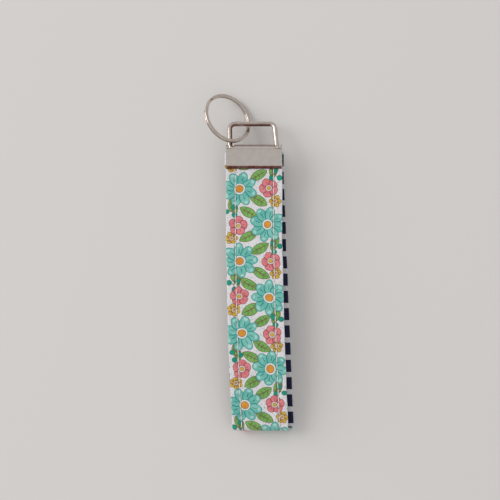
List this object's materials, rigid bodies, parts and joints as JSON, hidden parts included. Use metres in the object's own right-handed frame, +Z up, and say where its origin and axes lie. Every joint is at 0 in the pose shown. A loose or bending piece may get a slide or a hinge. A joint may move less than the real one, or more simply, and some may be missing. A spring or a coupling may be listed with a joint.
{
  "type": "wristlet keychain",
  "caption": "Folded cloth wrist strap with a crimped metal end clamp, a swinging wire loop and a split ring that carries keys.",
  "frame": {"origin": "on the table, under the middle of the whole object's box", "axes": "+Y along the strap towards the key ring, +X across the strap, +Z up from the table"},
  "size_m": [0.0521, 0.1974, 0.0206],
  "materials": {
    "floral_cotton": "matte",
    "interfacing": "matte",
    "striped_cotton": "matte",
    "sewing_thread": "satin",
    "brushed_nickel": "satin",
    "polished_nickel": "polished"
  },
  "bodies": {
    "strap": {"floral_cover": "floral_cotton", "strap_core": "interfacing", "striped_lining": "striped_cotton", "needle_thread_left": "sewing_thread", "needle_thread_right": "sewing_thread", "bobbin_thread_left": "sewing_thread", "bobbin_thread_right": "sewing_thread", "end_clamp": "brushed_nickel"},
    "loop": {"wire_loop": "polished_nickel"},
    "ring": {"split_ring": "polished_nickel"}
  },
  "joints": [
    {"name": "loop_swing", "type": "hinge", "parent": "strap", "child": "loop", "pos_m": [0.00275, 0.06637, 0.01331], "axis": [1, 0, 0], "range_deg": [-12, 40]},
    {"name": "ring_swing", "type": "hinge", "parent": "loop", "child": "ring", "pos_m": [-0.001, 0.08131, 0.00757], "axis": [-1, 0, 0], "range_deg": [0, 150]}
  ]
}
